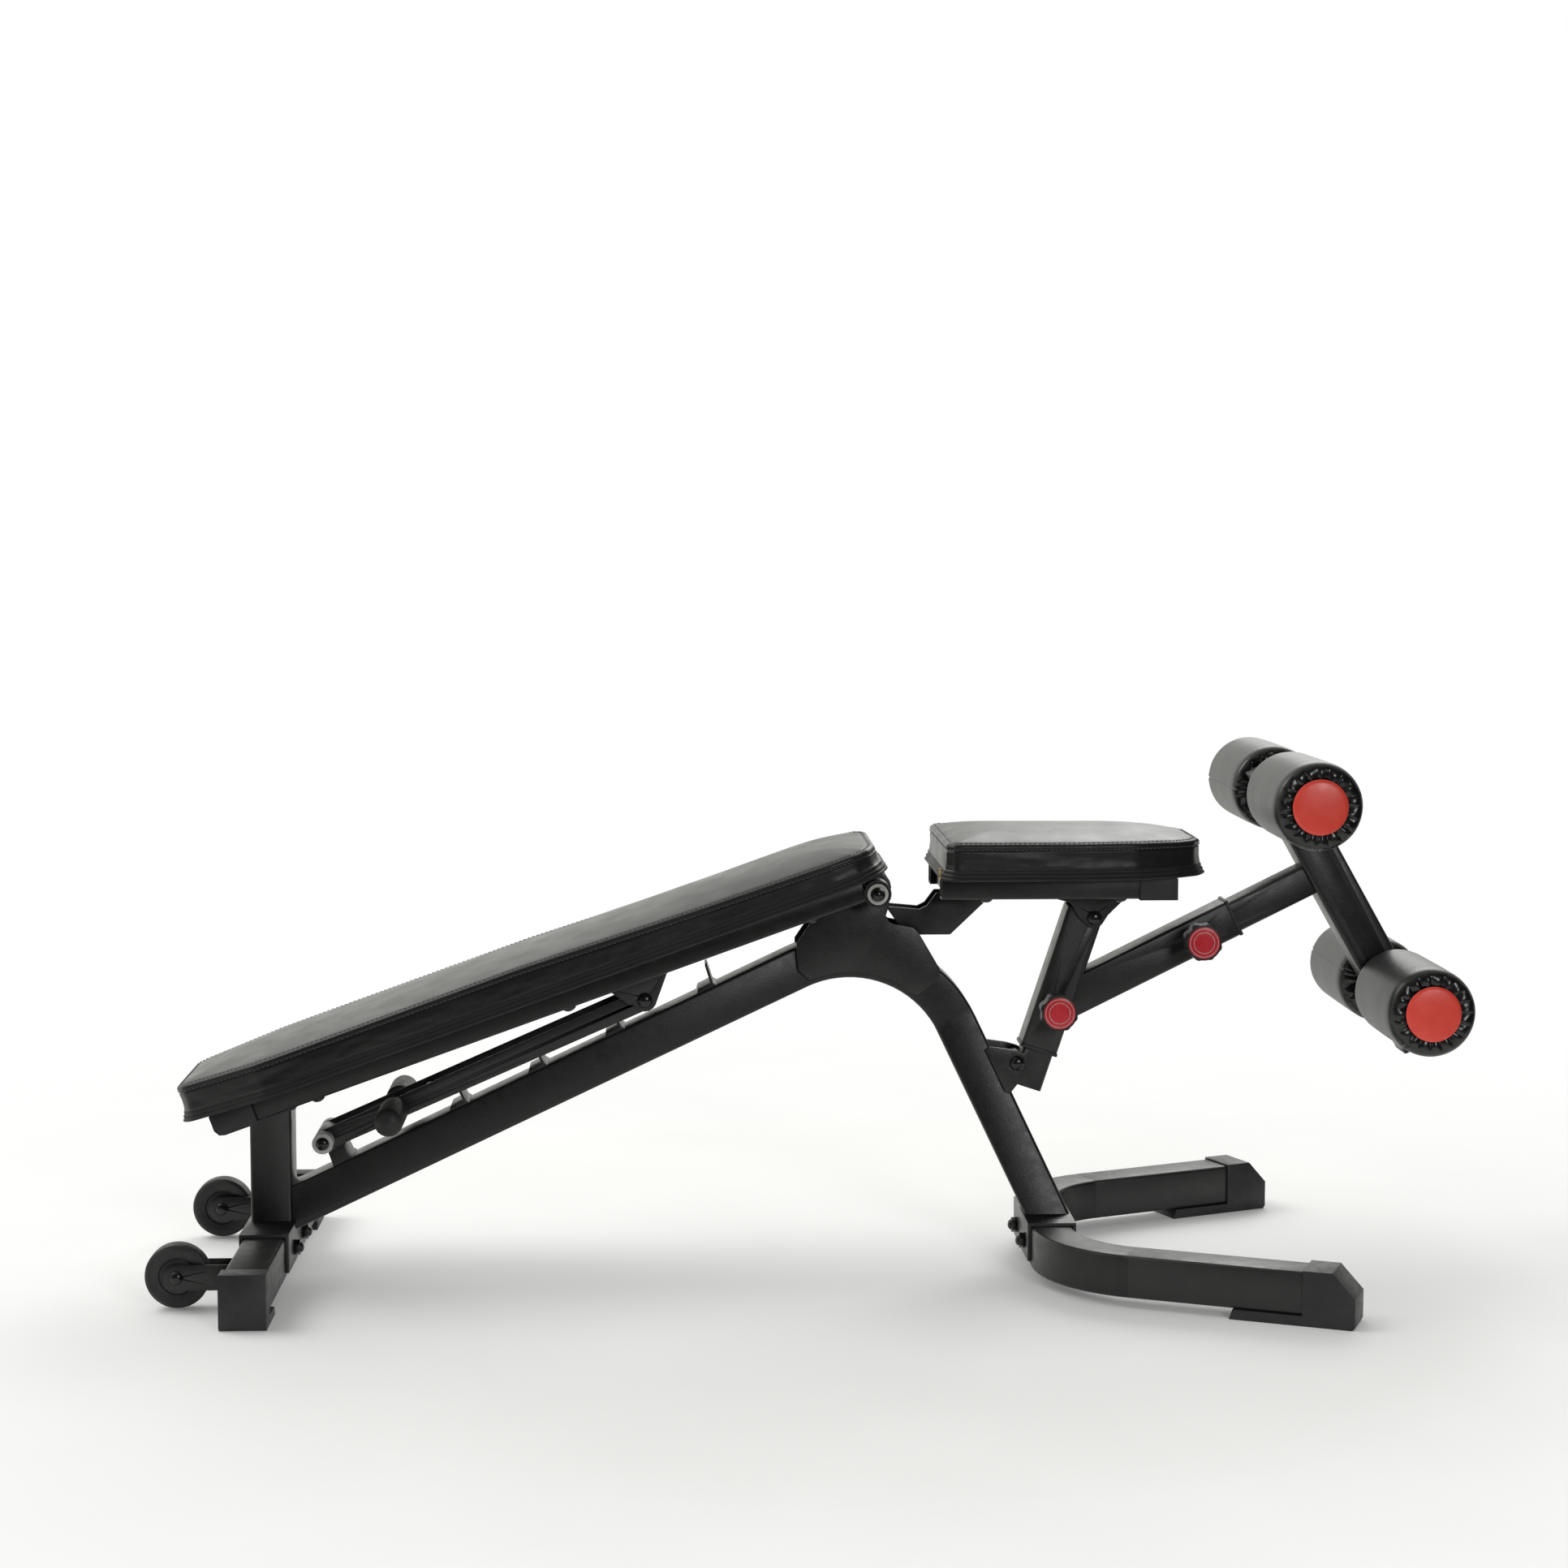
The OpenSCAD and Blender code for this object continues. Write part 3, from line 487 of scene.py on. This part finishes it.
def outline(half_line):
    """The closed outline mirrored from its half, and the outward normal at each of its points."""
    corners = near_corners([Vector(p) for p in half_line], CORNER_REACH)
    half = resampled(smoothed(corners, 3), OUTLINE_STEP)
    loop = half + [Vector((p.x, -p.y)) for p in half[-2:0:-1]]
    normals = []
    for i in range(len(loop)):
        along = (loop[(i + 1) % len(loop)] - loop[i - 1]).normalized()
        normals.append(Vector((along.y, -along.x)))
    if normals[0].x < 0:
        normals = [-n for n in normals]
    return loop, normals


def cushion_column(point, normal, seam, thickness, spine):
    """One (place, height, part, held) column of points, from under the spine to the crown above it."""
    centre = Vector((min(max(point.x, spine[0]), spine[1]), 0.0))
    column = [(centre.lerp(point, 0.02), 0.0, UNDER, True)]
    for share in UNDER_RINGS:
        column.append((centre.lerp(point - normal * UNDER_EDGE, share), 0.0, UNDER, True))
    for inset, height, part, hold in cushion_profile(seam, abs(normal.x) ** 1.5):
        column.append((point - normal * inset, height, part, hold))
    edge, base = column[-1][:2]
    for step in range(1, CROWN_RINGS + 1):
        share = step / CROWN_RINGS
        height = base + (thickness - base) * (1.0 - (1.0 - share) ** 2.2)
        column.append((edge.lerp(centre, share * 0.985), height, TOP, False))
    return column


def cushion(name, node, body, place, half_line, seam_table, thickness, spine):
    """A sewn cushion lofted round its outline, then puffed by a cloth run between its held seams.

    half_line is its outline on one side of the middle, and spine the X range that the crown closes on.
    """
    loop, normals = outline(half_line)
    count = len(loop)
    columns = []
    for point, normal in zip(loop, normals):
        seam = between(point.x, seam_table)
        columns.append(cushion_column(point, normal, seam, thickness, spine))
    ring_count = len(columns[0])
    offset = random.Random(name).uniform(0, 100)
    verts = []
    held = []
    for ring in range(ring_count):
        for i in range(count):
            flat, height, part, hold = columns[i][ring]
            if part == SIDE and not hold:
                broad = Vector((flat.x * 0.045 + offset, flat.y * 0.045, height * 0.16))
                fine = Vector((flat.x * 0.12, flat.y * 0.12 + offset, height * 0.3))
                wrinkle = noise.noise(broad) + 0.5 * noise.noise(fine)
                flat = flat + normals[i] * wrinkle * SIDE_WRINKLE
            if part == TOP and not hold:
                height += CROWN_WAVE * noise.noise(Vector((flat.x * 0.018, flat.y * 0.025, offset)))
            verts.append(place @ (Vector((flat.x, flat.y, height)) * MM))
            held.append(hold)
    faces = []
    looks = []
    for ring in range(ring_count - 1):
        for i in range(count):
            j = (i + 1) % count
            a = ring * count
            b = a + count
            faces.append((a + i, b + i, b + j, a + j))
            looks.append(1 if columns[i][ring + 1][2] == RIB else 0)
    for base in (0, (ring_count - 1) * count):
        for i in range(count // 2):
            corners = (base + i, base + i + 1, base + count - i - 1, base + (count - i) % count)
            faces.append(tuple(dict.fromkeys(corners)))
            looks.append(0)
    piece = new_object(name, verts, faces, [PAD_VINYL, BAND_VINYL], looks)
    faces_outward(piece.data)
    piece.data.shade_smooth()
    puff(piece, held)
    subdivision = piece.modifiers.new("subdivision", "SUBSURF")
    subdivision.levels = 1
    subdivision.render_levels = 1
    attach(piece, body)
    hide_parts(node)
    profile_start = 1 + len(UNDER_RINGS)
    for label, row in (("side_stitch", SIDE_STITCH_ROW), ("top_stitch", TOP_STITCH_ROW)):
        first = (profile_start + row) * count
        line = piece.data.vertices[first:first + count]
        path = [vertex.co.copy() for vertex in line]
        ups = [vertex.normal.copy() for vertex in line]
        stitch_row(name + "_" + label, path, ups, body)


def puff(piece, held):
    """Runs Blender's cloth with inner pressure, held at the seams, and caps how far a point moves."""
    cap = PUFF_CAP * MM
    group = piece.vertex_groups.new(name="held")
    group.add([i for i, hold in enumerate(held) if hold], 1.0, "REPLACE")
    start = [v.co.copy() for v in piece.data.vertices]
    modifier = piece.modifiers.new("cloth", "CLOTH")
    settings = modifier.settings
    settings.quality = 6
    settings.mass = 0.3
    settings.use_pressure = True
    settings.uniform_pressure_force = 4.0
    settings.effector_weights.gravity = 0.0
    settings.vertex_group_mass = "held"
    settings.tension_stiffness = 40.0
    settings.compression_stiffness = 40.0
    settings.shear_stiffness = 20.0
    settings.bending_stiffness = 2.0
    for number in range(1, PUFF_FRAMES + 1):
        scene.frame_set(number)
    evaluated = piece.evaluated_get(bpy.context.evaluated_depsgraph_get())
    moved = [v.co.copy() for v in evaluated.data.vertices]
    piece.modifiers.remove(modifier)
    scene.frame_set(1)
    far = 0.0
    for vertex, a, b in zip(piece.data.vertices, start, moved):
        step = b - a
        far = max(far, step.length)
        if step.length > cap:
            step = step.normalized() * cap
        vertex.co = a + step
    piece.data.update()
    print("puffed", piece.name, len(start), "points, farthest", round(far / MM, 2), "mm")


STITCH = ((0.0, 0.4, -0.2), (0.18, 0.9, 0.35), (0.5, 1.0, 0.6), (0.82, 0.9, 0.35), (1.0, 0.4, -0.2))
STITCH_SIDES = 6
STITCH_LENGTH = 3.9
STITCH_PITCH = 5.8
STITCH_RADIUS = 0.5


def stitch_row(name, path, ups, body):
    """A row of thread stitches along a closed path. STITCH holds (share of length, size, lift) rows."""
    count = len(path)
    lengths = [0.0]
    for i in range(count):
        lengths.append(lengths[-1] + (path[(i + 1) % count] - path[i]).length)
    total = lengths[-1]
    number = int(total / (STITCH_PITCH * MM))

    def at(distance):
        distance %= total
        low, high = 0, count
        while high - low > 1:
            middle = (low + high) // 2
            if lengths[middle] <= distance:
                low = middle
            else:
                high = middle
        share = (distance - lengths[low]) / max(1e-9, lengths[low + 1] - lengths[low])
        nxt = (low + 1) % count
        return path[low].lerp(path[nxt], share), ups[low].lerp(ups[nxt], share).normalized()

    verts = []
    faces = []
    for n in range(number):
        start = total * n / number
        base = len(verts)
        for share, size, lift in STITCH:
            spot, up = at(start + STITCH_LENGTH * MM * share)
            ahead = at(start + STITCH_LENGTH * MM * share + 1.0 * MM)[0]
            along = (ahead - spot).normalized()
            across = along.cross(up).normalized()
            for k in range(STITCH_SIDES):
                angle = -math.tau * k / STITCH_SIDES
                swing = across * math.cos(angle) + up * math.sin(angle)
                verts.append(spot + up * (lift * STITCH_RADIUS * MM) + swing * (size * STITCH_RADIUS * MM))
        last = base + (len(STITCH) - 1) * STITCH_SIDES
        for a in range(base, last, STITCH_SIDES):
            b = a + STITCH_SIDES
            for k in range(STITCH_SIDES):
                m = (k + 1) % STITCH_SIDES
                faces.append((a + k, a + m, b + m, b + k))
        faces.append(tuple(base + k for k in reversed(range(STITCH_SIDES))))
        faces.append(tuple(last + k for k in range(STITCH_SIDES)))
    new_piece(name, verts, faces, [THREAD], body)


axle = next(j for j in frame["joints"] if j["name"] == "back_recline")["pos_m"]
back_place = Matrix.Translation(axle) @ Matrix.Rotation(-math.radians(BACK_SLOPE), 4, "Y")
back_local = [back_place.inverted() @ v.co for v in nodes["back_pad"].data.vertices]
back_base = min(v.z for v in back_local) / MM
back_top = max(v.z for v in back_local) / MM
head = min(v.x for v in back_local) / MM
hip = max(v.x for v in back_local) / MM
back_half = max(v.y for v in back_local) / MM
back_place = back_place @ Matrix.Translation((0, 0, back_base * MM))
BACK_LINE = (
    (hip, 0), (hip, 40), (hip, 74), (hip - 10, 104), (hip - 30, 122), (hip - 60, back_half),
    (hip - 160, back_half), (head + 250, back_half), (head + 150, back_half), (head + 110, back_half - 2),
    (head + 12, 88), (head, 72), (head, 40), (head, 0),
)
BACK_SEAM = ((head, 44.5), (head + 440, 45.5), (hip - 234, 39.5), (hip, 35.5))
cushion("back_cushion", "back_pad", "backrest", back_place, BACK_LINE, BACK_SEAM,
        back_top - back_base + BACK_CROWN, (head + 128, hip - 122))

seat_low, seat_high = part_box("seat_pad")
seat_place = Matrix.Translation((0, 0, seat_low.z))
rear = seat_low.x / MM
front = seat_high.x / MM
seat_half = seat_high.y / MM
seat_thick = (seat_high.z - seat_low.z) / MM
SEAT_LINE = (
    (front, 0), (front, 25), (front, seat_half - 78), (front - 12, seat_half - 52),
    (front - 40, seat_half - 30), (front - 90, seat_half - 10), (front - 150, seat_half),
    (front - 220, seat_half), (rear + 40, seat_half), (rear + 12, seat_half), (rear, seat_half - 14),
    (rear, 60), (rear, 0),
)
SEAT_SEAM = ((rear, 45.0), (front - 100, 45.0), (front, 43.5))
cushion("seat_cushion", "seat_pad", "seat", seat_place, SEAT_LINE, SEAT_SEAM,
        seat_thick + SEAT_CROWN, (rear + 110, front - 120))


# ---------------------------------------------------------------- foam rollers

AROUND = 288
FOLDS = 19
NOMINAL_RADIUS = 52.0
SHOULDER = 15.0
BARREL_STEPS = 22
BARREL_WAVE = 0.25
ROLLER_END = (
    (13.2, 3.2), (20.0, 3.0), (27.0, 2.6), (31.0, 2.2), (33.5, 1.5), (36.0, 0.8), (38.5, 0.5),
    (41.0, 0.6), (43.5, 1.2), (45.8, 2.2), (47.8, 3.6), (49.4, 5.4), (50.6, 7.8), (51.4, 10.8),
    (51.8, SHOULDER),
)


def roller_rows(radius, half):
    """(radius, y, side) rings in mm along a roller; side is 1 and -1 on its two gathered ends."""
    rows = [(r * radius / NOMINAL_RADIUS, -half + y, 1) for r, y in ROLLER_END]
    for k in range(1, BARREL_STEPS):
        share = k / BARREL_STEPS
        y = -half + SHOULDER + 2 * (half - SHOULDER) * share
        rows.append((radius * (0.9965 + 0.0045 * math.sin(math.pi * share)), y, 0))
    return rows + [(r, -y, -1) for r, y, _ in reversed(rows[:len(ROLLER_END)])]


def gathers(seed):
    """The puckers of one roller: how far the cover stands out at a turn and radius."""
    rng = random.Random(seed)
    sizes = [rng.uniform(0.65, 1.05) for _ in range(FOLDS)]
    jitter = [rng.uniform(-0.3, 0.3) for _ in range(FOLDS)]
    reach = [rng.uniform(46.0, 51.0) for _ in range(FOLDS)]

    def out(turn, r):
        angle = math.tau * turn
        index = int(turn * FOLDS) % FOLDS
        inside = turn * FOLDS % 1.0
        inside += jitter[index] * math.sin(math.pi * inside)
        ridge = math.sin(math.pi * min(1.0, max(0.0, inside))) ** 0.65
        fade = min(1.0, max(0.0, (reach[index] - r) / 11.0))
        fade = fade * fade * (3.0 - 2.0 * fade)
        spot = Vector((math.cos(angle) * 3, math.sin(angle) * 3, r * 0.12 + seed))
        return fade * sizes[index] * (ridge * 5.6 - 3.7) * (0.7 + 0.5 * noise.noise(spot))

    return out


def seam_height(across):
    """Height in mm at a distance across the lengthwise seam: a groove between two low ridges."""
    ridges = 0.45 * math.exp(-((abs(across) - 3.0) / 1.6) ** 2)
    groove = 1.3 * math.exp(-(across / 1.1) ** 2)
    return ridges - groove


def wrap_map(bm, travel):
    """UVs for the streaks: turns round the roller, and metres along its section."""
    layer = bm.loops.layers.uv.new("wrap")
    for face in bm.faces:
        turns = [loop.vert.index % AROUND for loop in face.loops]
        closing = max(turns) - min(turns) > 1
        for loop, turn in zip(face.loops, turns):
            if closing and turn == 0:
                turn = AROUND
            loop[layer].uv = (turn / AROUND, travel[loop.vert.index // AROUND] * MM)


def roller(node, body, seed, seam_at):
    """Foam roller in a sewn cover, gathered into puckers round its end caps."""
    low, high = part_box(node)
    centre = (low + high) / 2
    radius = (high.x - low.x) / 2 / MM
    rows = roller_rows(radius, (high.y - low.y) / 2 / MM)
    pucker = gathers(seed)
    travel = [0.0]
    for a, b in zip(rows, rows[1:]):
        travel.append(travel[-1] + math.hypot(b[0] - a[0], b[1] - a[1]))
    verts = []
    for r, y, side in rows:
        for k in range(AROUND):
            turn = k / AROUND
            angle = math.tau * turn
            seam = seam_height((turn - seam_at) * math.tau * max(r, 20.0))
            rr = r
            yy = y
            if side and r < radius - 1.5:
                yy -= side * (pucker(turn, r) + seam * 0.7)
            else:
                spot = Vector((math.cos(angle) * 2.2, math.sin(angle) * 2.2, y * 0.02 + seed))
                rr += seam + BARREL_WAVE * noise.noise(spot)
            verts.append(centre + Vector((math.cos(angle) * rr, yy, math.sin(angle) * rr)) * MM)
    faces = []
    looks = []
    for ring in range(len(rows)):
        here = rows[ring]
        after = rows[(ring + 1) % len(rows)]
        hidden = ring == len(rows) - 1
        gathered = here[2] and after[2] and here[0] < 0.95 * radius
        a = ring * AROUND
        b = (ring + 1) % len(rows) * AROUND
        for k in range(AROUND):
            m = (k + 1) % AROUND
            faces.append((a + k, b + k, b + m, a + m))
            looks.append(1 if hidden or gathered else 0)
    materials = [ROLLER_VINYL, GATHERED_VINYL]
    piece = new_piece(node + "_cover", verts, faces, materials, body, looks)
    faces_outward(piece.data)
    bm = bmesh.new()
    bm.from_mesh(piece.data)
    wrap_map(bm, travel)
    bm.to_mesh(piece.data)
    bm.free()
    piece.data.shade_smooth()
    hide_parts(node)


ROLLER_SEAMS = (("upper_near", 0.75), ("upper_far", 0.5), ("lower_near", 0.64), ("lower_far", 0.45))
for number, (roller_name, seam_turn) in enumerate(ROLLER_SEAMS):
    roller(roller_name + "_roller", roller_name, 11 + number, seam_turn)


# ---------------------------------------------------------------- rings and knob faces

def wire_ring(name, centre, across, up, radius, wire, body, material, squeeze=1.0):
    """A round wire ring in the plane of across and up; squeeze below 1 makes it oval."""
    around = 48
    sides = 10
    verts = []
    faces = []
    normal = across.cross(up)
    for k in range(around):
        turn = math.tau * k / around
        out = across * (math.cos(turn) * squeeze) + up * math.sin(turn)
        for m in range(sides):
            angle = math.tau * m / sides
            offset = (out.normalized() * math.cos(angle) + normal * math.sin(angle)) * wire
            verts.append(centre + (out * radius + offset) * MM)
    for k in range(around):
        for m in range(sides):
            a = k * sides
            b = (k + 1) % around * sides
            n = (m + 1) % sides
            faces.append((a + m, b + m, b + n, a + n))
    new_piece(name, verts, faces, [material], body)


RIGHT = Vector((1, 0, 0))
UP = Vector((0, 0, 1))
ZIP_AT = Vector((seat_low.x - 0.6 * MM, seat_low.y + 24 * MM, seat_low.z + 12 * MM))
wire_ring("seat_zip_eye", ZIP_AT, RIGHT, UP, 1.6, 0.7, "seat", BRASS)
wire_ring("seat_zip_ring", ZIP_AT - UP * 6.6 * MM, Vector((0, 1, 0)), UP, 5.0, 0.7, "seat", BRASS,
          0.8)


def knob_face(name, centre, radius, rise, body):
    """A slightly domed round face with a rounded rim; centre lies on the flat below it."""
    rows = [(radius * k / 10.0, rise * (1.0 - (k / 10.0) ** 2)) for k in range(1, 10)]
    rows += [(radius * 0.965, 0.02 * rise), (radius * 0.99, -0.35), (radius, -1.1), (radius, -1.8)]
    around = 96
    verts = [centre - Vector((0, rise * MM, 0))]
    for r, out in rows:
        for k in range(around):
            angle = math.tau * k / around
            verts.append(centre + Vector((math.cos(angle) * r, -out, math.sin(angle) * r)) * MM)
    faces = []
    for k in range(around):
        faces.append((0, 1 + k, 1 + (k + 1) % around))
    for row in range(len(rows) - 1):
        for k in range(around):
            a = 1 + row * around
            m = (k + 1) % around
            faces.append((a + k, a + around + k, a + around + m, a + m))
    back = 1 + (len(rows) - 1) * around
    faces.append(tuple(back + k for k in reversed(range(around))))
    new_piece(name, verts, faces, [KNOB_FACE], body)


RISE = 1.2
KNOB_RIM = 2.4
for knob_name in ("height_knob", "arm_knob"):
    knob_low, knob_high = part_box(knob_name)
    face_centre = (knob_low + knob_high) / 2
    face_centre.y = knob_low.y
    face_radius = (knob_high.x - knob_low.x) / 2 / MM - KNOB_RIM
    knob_face(knob_name + "_face", face_centre, face_radius, RISE, knob_name + "_body")
    for size in (12.5, 17.0):
        label = knob_name + "_ring_" + str(int(size))
        lift = RISE * (1.0 - (size / face_radius) ** 2)
        spot = face_centre - Vector((0, lift * MM, 0))
        wire_ring(label, spot, RIGHT, UP, size, 0.35, knob_name + "_body", RING_PRINT)


# ---------------------------------------------------------------- floor, light and camera

def floor():
    """A pale disk that fades out before the horizon."""
    rim = 48
    radius = 3.0
    mesh = bpy.data.meshes.new("floor")
    angles = [math.tau * k / rim for k in range(rim)]
    points = [(radius * math.cos(angle), radius * math.sin(angle), 0.0) for angle in angles]
    mesh.from_pydata(points, [], [tuple(range(rim))])
    look = Look("floor_pale")
    look.patches(3.0, (0.9, 0.9, 0.9), (0.94, 0.94, 0.94))
    look.fixed("Roughness", 0.9)
    look.fixed("Emission Color", (1.0, 1.0, 1.0, 1.0))
    look.fixed("Emission Strength", 0.12)
    distance = look.add("VectorMath", operation="LENGTH")
    look.link(look.object_coords, distance.inputs[0])
    look.link(look.spread(distance.outputs["Value"], 1.0, 0.0, 0.8, 1.9), look.shader.inputs["Alpha"])
    mesh.materials.append(look.material)
    plane = bpy.data.objects.new("floor", mesh)
    scene.collection.objects.link(plane)


def world():
    """White for the camera; for the object, bright from behind and the left, and dark in front."""
    sky = bpy.data.worlds.new("studio")
    scene.world = sky
    sky.use_nodes = True
    tree = sky.node_tree
    tree.nodes.clear()
    output = tree.nodes.new("ShaderNodeOutputWorld")
    mix = tree.nodes.new("ShaderNodeMixShader")
    path = tree.nodes.new("ShaderNodeLightPath")
    seen = tree.nodes.new("ShaderNodeBackground")
    felt = tree.nodes.new("ShaderNodeBackground")
    seen.inputs["Color"].default_value = (1.0, 1.0, 1.0, 1.0)
    coords = tree.nodes.new("ShaderNodeTexCoord")
    dot = tree.nodes.new("ShaderNodeVectorMath")
    dot.operation = "DOT_PRODUCT"
    dot.inputs[1].default_value = (-0.45, 0.85, 0.25)
    ramp = tree.nodes.new("ShaderNodeMapRange")
    ramp.inputs["From Min"].default_value = -0.45
    ramp.inputs["From Max"].default_value = 0.9
    ramp.inputs["To Min"].default_value = 0.02
    ramp.inputs["To Max"].default_value = 1.1
    felt.inputs["Color"].default_value = (1.0, 1.0, 0.95, 1.0)
    tree.links.new(coords.outputs["Generated"], dot.inputs[0])
    tree.links.new(dot.outputs["Value"], ramp.inputs["Value"])
    tree.links.new(ramp.outputs["Result"], felt.inputs["Strength"])
    tree.links.new(path.outputs["Is Camera Ray"], mix.inputs[0])
    tree.links.new(felt.outputs[0], mix.inputs[1])
    tree.links.new(seen.outputs[0], mix.inputs[2])
    tree.links.new(mix.outputs[0], output.inputs["Surface"])


def softbox(name, location, target, size, power):
    data = bpy.data.lights.new(name, "AREA")
    data.shape = "DISK"
    data.size = size
    data.energy = power
    lamp = bpy.data.objects.new(name, data)
    lamp.location = location
    lamp.rotation_euler = (Vector(target) - Vector(location)).to_track_quat("-Z", "Y").to_euler()
    scene.collection.objects.link(lamp)


def camera():
    data = bpy.data.cameras.new("camera")
    data.lens = 66.4
    data.sensor_width = 36.0
    view = bpy.data.objects.new("camera", data)
    view.location = (-0.161, -3.4875, 0.898)
    view.rotation_euler = Vector((0.0393, 1.0, -0.0874)).to_track_quat("-Z", "Y").to_euler()
    scene.collection.objects.link(view)
    bpy.context.scene.camera = view


floor()
world()
softbox("key", (-2.6, 0.6, 3.0), (0.0, 0.0, 0.3), 2.2, 40.0)
softbox("back", (1.5, 3.2, 2.6), (0.0, 0.0, 0.4), 2.4, 45.0)
softbox("front", (1.6, -4.0, 1.6), (0.3, 0.0, 0.4), 1.3, 40.0)
camera()
scene.view_settings.view_transform = "Standard"
